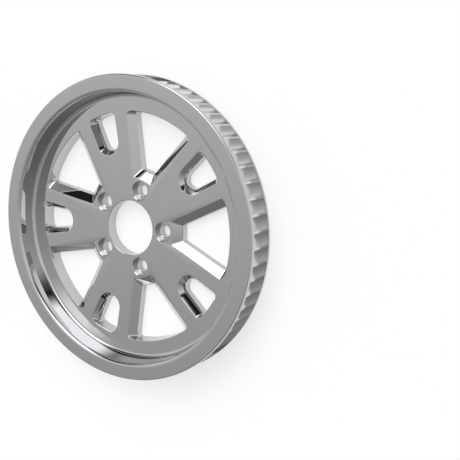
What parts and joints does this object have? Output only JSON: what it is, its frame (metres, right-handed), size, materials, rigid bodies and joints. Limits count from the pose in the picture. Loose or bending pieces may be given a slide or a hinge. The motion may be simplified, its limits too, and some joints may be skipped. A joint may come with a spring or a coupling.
{
  "type": "toothed belt pulley",
  "caption": "Flanged toothed belt pulley with a dished web, bevelled spoke windows, and a bored hub that bolts to a wheel.",
  "frame": {"origin": "on the pulley's axis, in the plane of the rim's back face that it lies on", "axes": "+Z along the bore axis towards the dished front face; +X through the centre of one large window and one bolt hole; a tooth gap is centred on +Y"},
  "size_m": [0.2776, 0.2776, 0.031],
  "materials": {
    "chrome_body": "mirror-bright chrome plate"
  },
  "bodies": {
    "root": {"pulley": "chrome_body"}
  },
  "joints": []
}
